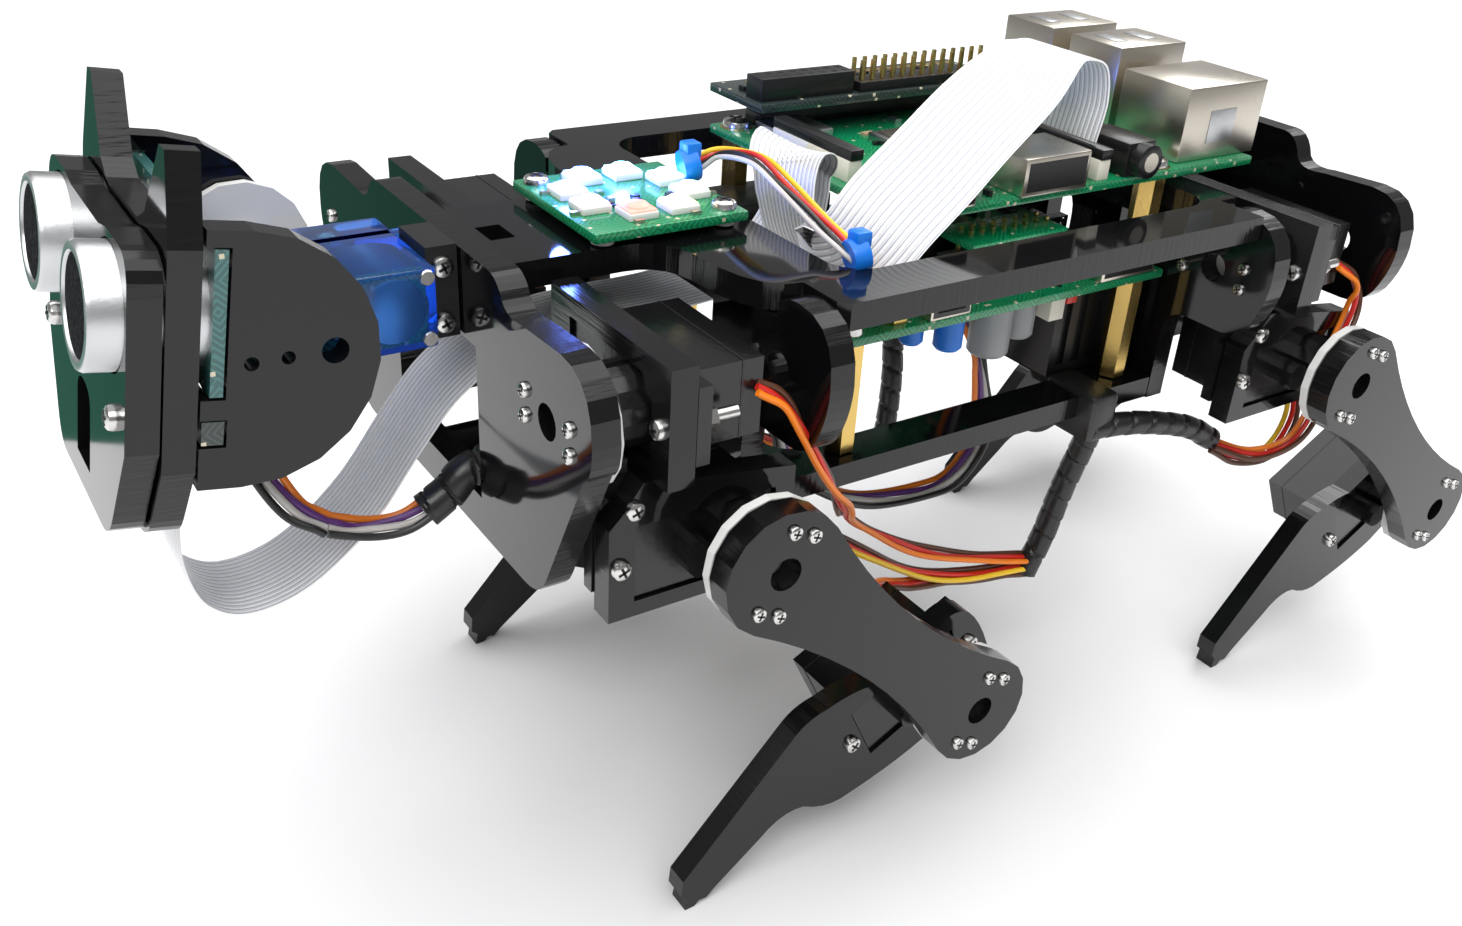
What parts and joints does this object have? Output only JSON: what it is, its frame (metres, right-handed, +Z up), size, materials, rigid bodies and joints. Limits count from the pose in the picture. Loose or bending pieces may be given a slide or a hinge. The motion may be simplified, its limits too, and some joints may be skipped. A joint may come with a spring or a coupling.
{
  "type": "quadruped robot dog",
  "caption": "Four-legged walking robot with a slotted acrylic plate body, servo-driven legs, a nodding head with sonar eyes and a stack of circuit boards.",
  "frame": {"origin": "on the floor, under the middle of the whole robot in its standing pose", "axes": "+X to the head, +Y to the left, +Z up"},
  "size_m": [0.2712, 0.1144, 0.1319],
  "materials": {
    "black_acrylic": "gloss black cast acrylic",
    "servo_case": "satin black moulded nylon",
    "blue_case": "clear blue moulded plastic",
    "horn_plastic": "light grey moulded nylon",
    "board_green": "green solder mask",
    "board_black": "black solder mask",
    "sonar_can": "drawn aluminium cans",
    "ribbon": "pale flat cable",
    "lead_black": "black insulation",
    "black_plastic": "moulded black plastic"
  },
  "bodies": {
    "root": {"front_plate": "black_acrylic", "front_bulkhead": "black_acrylic", "rear_bulkhead": "black_acrylic", "rear_plate": "black_acrylic", "top_plate": "black_acrylic", "bottom_plate": "black_acrylic", "shield_board": "board_green", "computer_board": "board_green", "header_board": "board_black", "led_board": "board_green", "battery_holder": "black_plastic", "head_servo": "blue_case", "head_mount": "black_plastic", "camera_ribbon": "ribbon", "sonar_lead": "lead_black", "hip_horn_fl": "horn_plastic", "hip_horn_fr": "horn_plastic", "hip_horn_rl": "horn_plastic", "hip_horn_rr": "horn_plastic"},
    "hip_fl": {"hip_servo_fl": "servo_case", "hip_bracket_fl": "black_acrylic", "thigh_servo_fl": "servo_case"},
    "thigh_fl": {"thigh_horn_fl": "horn_plastic", "thigh_plate_fl": "black_acrylic", "knee_horn_fl": "horn_plastic"},
    "shin_fl": {"knee_servo_fl": "servo_case", "shin_fl": "black_acrylic"},
    "hip_fr": {"hip_servo_fr": "servo_case", "hip_bracket_fr": "black_acrylic", "thigh_servo_fr": "servo_case"},
    "thigh_fr": {"thigh_horn_fr": "horn_plastic", "thigh_plate_fr": "black_acrylic", "knee_horn_fr": "horn_plastic"},
    "shin_fr": {"knee_servo_fr": "servo_case", "shin_fr": "black_acrylic"},
    "hip_rl": {"hip_servo_rl": "servo_case", "hip_bracket_rl": "black_acrylic", "thigh_servo_rl": "servo_case"},
    "thigh_rl": {"thigh_horn_rl": "horn_plastic", "thigh_plate_rl": "black_acrylic", "knee_horn_rl": "horn_plastic"},
    "shin_rl": {"knee_servo_rl": "servo_case", "shin_rl": "black_acrylic"},
    "hip_rr": {"hip_servo_rr": "servo_case", "hip_bracket_rr": "black_acrylic", "thigh_servo_rr": "servo_case"},
    "thigh_rr": {"thigh_horn_rr": "horn_plastic", "thigh_plate_rr": "black_acrylic", "knee_horn_rr": "horn_plastic"},
    "shin_rr": {"knee_servo_rr": "servo_case", "shin_rr": "black_acrylic"},
    "head": {"head_horn": "horn_plastic", "face_plate": "black_acrylic", "ear_plate": "black_acrylic", "cheek_left": "black_acrylic", "cheek_right": "black_acrylic", "sonar_module": "sonar_can", "camera_module": "board_green"}
  },
  "joints": [
    {"name": "hip_roll_fl", "type": "hinge", "parent": "root", "child": "hip_fl", "pos_m": [0.072, 0.038, 0.09525], "axis": [1, 0, 0], "range_deg": [-12, 28]},
    {"name": "hip_pitch_fl", "type": "hinge", "parent": "hip_fl", "child": "thigh_fl", "pos_m": [0.0573, 0.045, 0.07385], "axis": [0, 1, 0], "range_deg": [-40, 20]},
    {"name": "knee_fl", "type": "hinge", "parent": "thigh_fl", "child": "shin_fl", "pos_m": [0.01298, 0.045, 0.03164], "axis": [0, 1, 0], "range_deg": [-25, 50]},
    {"name": "hip_roll_fr", "type": "hinge", "parent": "root", "child": "hip_fr", "pos_m": [0.072, -0.038, 0.09525], "axis": [-1, 0, 0], "range_deg": [-12, 28]},
    {"name": "hip_pitch_fr", "type": "hinge", "parent": "hip_fr", "child": "thigh_fr", "pos_m": [0.0573, -0.045, 0.07385], "axis": [0, 1, 0], "range_deg": [-40, 20]},
    {"name": "knee_fr", "type": "hinge", "parent": "thigh_fr", "child": "shin_fr", "pos_m": [0.01298, -0.045, 0.03164], "axis": [0, 1, 0], "range_deg": [-25, 50]},
    {"name": "hip_roll_rl", "type": "hinge", "parent": "root", "child": "hip_rl", "pos_m": [-0.061, 0.038, 0.09525], "axis": [1, 0, 0], "range_deg": [-12, 28]},
    {"name": "hip_pitch_rl", "type": "hinge", "parent": "hip_rl", "child": "thigh_rl", "pos_m": [-0.0757, 0.045, 0.07385], "axis": [0, 1, 0], "range_deg": [-40, 20]},
    {"name": "knee_rl", "type": "hinge", "parent": "thigh_rl", "child": "shin_rl", "pos_m": [-0.12168, 0.045, 0.03346], "axis": [0, 1, 0], "range_deg": [-25, 50]},
    {"name": "hip_roll_rr", "type": "hinge", "parent": "root", "child": "hip_rr", "pos_m": [-0.061, -0.038, 0.09525], "axis": [-1, 0, 0], "range_deg": [-12, 28]},
    {"name": "hip_pitch_rr", "type": "hinge", "parent": "hip_rr", "child": "thigh_rr", "pos_m": [-0.0757, -0.045, 0.07385], "axis": [0, 1, 0], "range_deg": [-40, 20]},
    {"name": "knee_rr", "type": "hinge", "parent": "thigh_rr", "child": "shin_rr", "pos_m": [-0.12168, -0.045, 0.03346], "axis": [0, 1, 0], "range_deg": [-25, 50]},
    {"name": "head_nod", "type": "hinge", "parent": "root", "child": "head", "pos_m": [0.1063, 0, 0.10385], "axis": [0, 1, 0], "range_deg": [-22, 20]}
  ]
}
